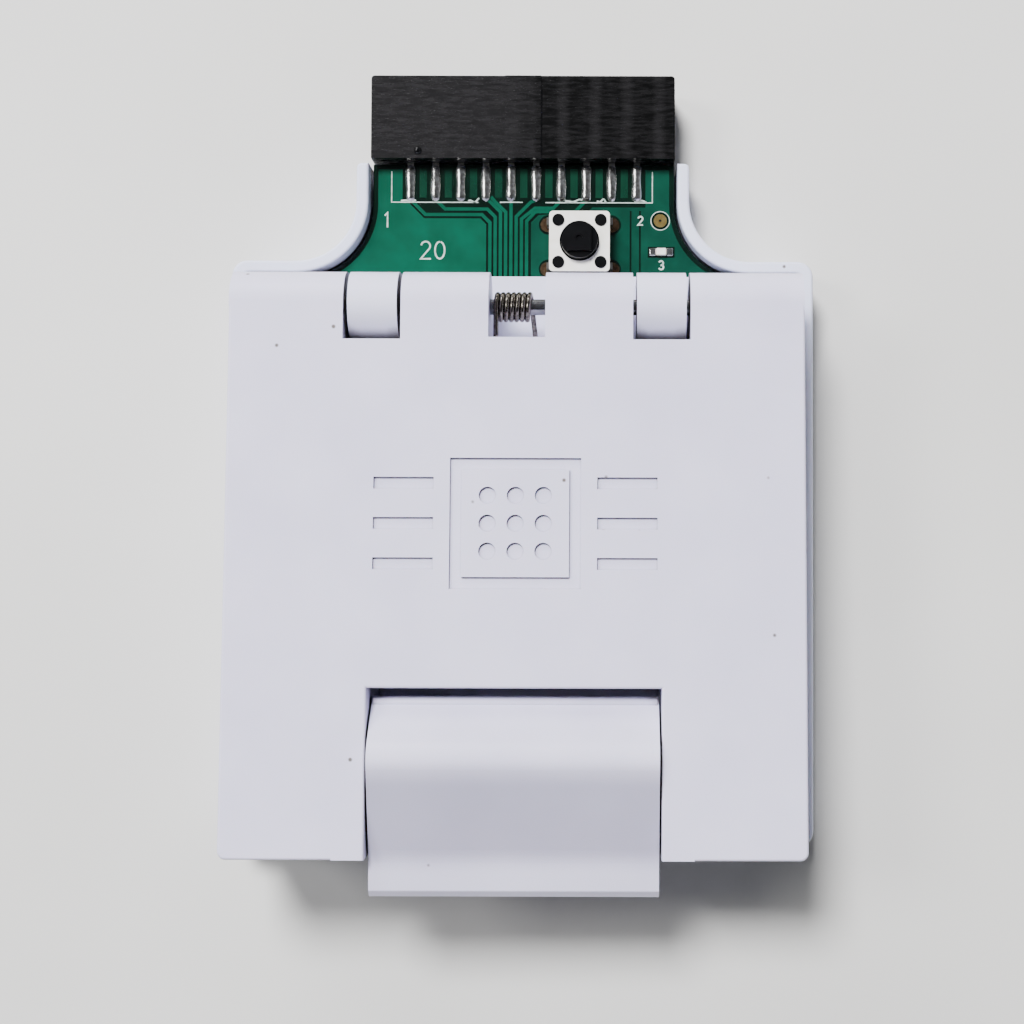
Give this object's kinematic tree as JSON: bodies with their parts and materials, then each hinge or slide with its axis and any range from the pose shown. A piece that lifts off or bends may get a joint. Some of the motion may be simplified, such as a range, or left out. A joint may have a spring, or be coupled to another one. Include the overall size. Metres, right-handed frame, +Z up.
{
  "type": "bga socket adapter",
  "caption": "White clamshell test socket for ball grid array chips: hinged lid with a rocking latch, on a small green board with a reset switch and a straddle header.",
  "frame": {"origin": "middle of the base shell's square underside, on the surface it rests on", "axes": "+Z up; +Y from the latch towards the header; +X to the right seen from above with the header away"},
  "size_m": [0.058, 0.0796, 0.0209],
  "materials": {
    "white_abs": "white ABS, fine moulded texture",
    "lid_abs": "slightly grey white ABS, satin, worn bright at the edges",
    "solder_mask": "green solder mask over copper on glass fibre, glossy",
    "header_moulding": "black glass filled nylon, scuffed",
    "black_moulding": "black moulded socket plastic",
    "switch_moulding": "black moulded switch plastic",
    "switch_steel": "plated sheet steel, bright",
    "screw_steel": "zinc plated steel",
    "pin_steel": "polished steel",
    "spring_steel": "dark drawn spring wire",
    "plate_alloy": "dark anodised aluminium",
    "tinned_copper": "tinned, soldered",
    "gold_plate": "gold plated",
    "lamp_resin": "clear white resin",
    "capacitor_ceramic": "fired ceramic with tinned ends"
  },
  "bodies": {
    "base": {"base_shell": "white_abs", "circuit_board": "solder_mask", "deck_plate": "white_abs", "case_screws": "screw_steel", "socket_body": "black_moulding", "backing_plate": "plate_alloy", "socket_screws": "screw_steel", "contact_barrels": "gold_plate", "guide_springs": "spring_steel", "header_housing": "header_moulding", "header_contacts": "tinned_copper", "switch_body": "switch_moulding", "switch_dome": "switch_steel", "switch_cover": "switch_steel", "switch_rivets": "switch_moulding", "switch_legs": "tinned_copper", "status_led": "lamp_resin", "test_point": "gold_plate", "chip_capacitors": "capacitor_ceramic", "hinge_spring": "spring_steel"},
    "lid": {"lid_shell": "lid_abs", "hinge_pin": "pin_steel", "latch_pin": "pin_steel", "latch_springs": "spring_steel", "plate_screws": "screw_steel", "plate_springs": "spring_steel"},
    "latch": {"latch_lever": "lid_abs"},
    "plate": {"pressure_plate": "plate_alloy"},
    "guide": {"guide_frame": "black_moulding"},
    "contacts": {"contact_plungers": "gold_plate"},
    "button": {"switch_button": "switch_moulding"}
  },
  "joints": [
    {"name": "lid_hinge", "type": "hinge", "parent": "base", "child": "lid", "pos_m": [0, 0.0233, 0.0142], "axis": [-1, 0, 0], "range_deg": [0, 100], "deforming": ["hinge_spring"]},
    {"name": "latch_pivot", "type": "hinge", "parent": "lid", "child": "latch", "pos_m": [0, -0.026, 0.015], "axis": [-1, 0, 0], "range_deg": [0, 10], "stiffness_Nm_per_rad": 0.3, "springref_deg": -8.59, "deforming": ["latch_springs"]},
    {"name": "plate_float", "type": "slide", "parent": "lid", "child": "plate", "axis": [0, 0, 1], "range_m": [0, 0.0008], "stiffness_N_per_m": 2000, "springref_m": -0.0005, "deforming": ["plate_springs"]},
    {"name": "guide_float", "type": "slide", "parent": "base", "child": "guide", "axis": [0, 0, -1], "range_m": [0, 0.0005], "stiffness_N_per_m": 800, "springref_m": -0.0005, "deforming": ["guide_springs"]},
    {"name": "contact_travel", "type": "slide", "parent": "base", "child": "contacts", "axis": [0, 0, -1], "range_m": [0, 0.0004], "stiffness_N_per_m": 6000, "springref_m": -0.0001},
    {"name": "switch_press", "type": "slide", "parent": "base", "child": "button", "axis": [0, 0, -1], "range_m": [0, 0.00025], "stiffness_N_per_m": 6000, "springref_m": -0.00005}
  ]
}
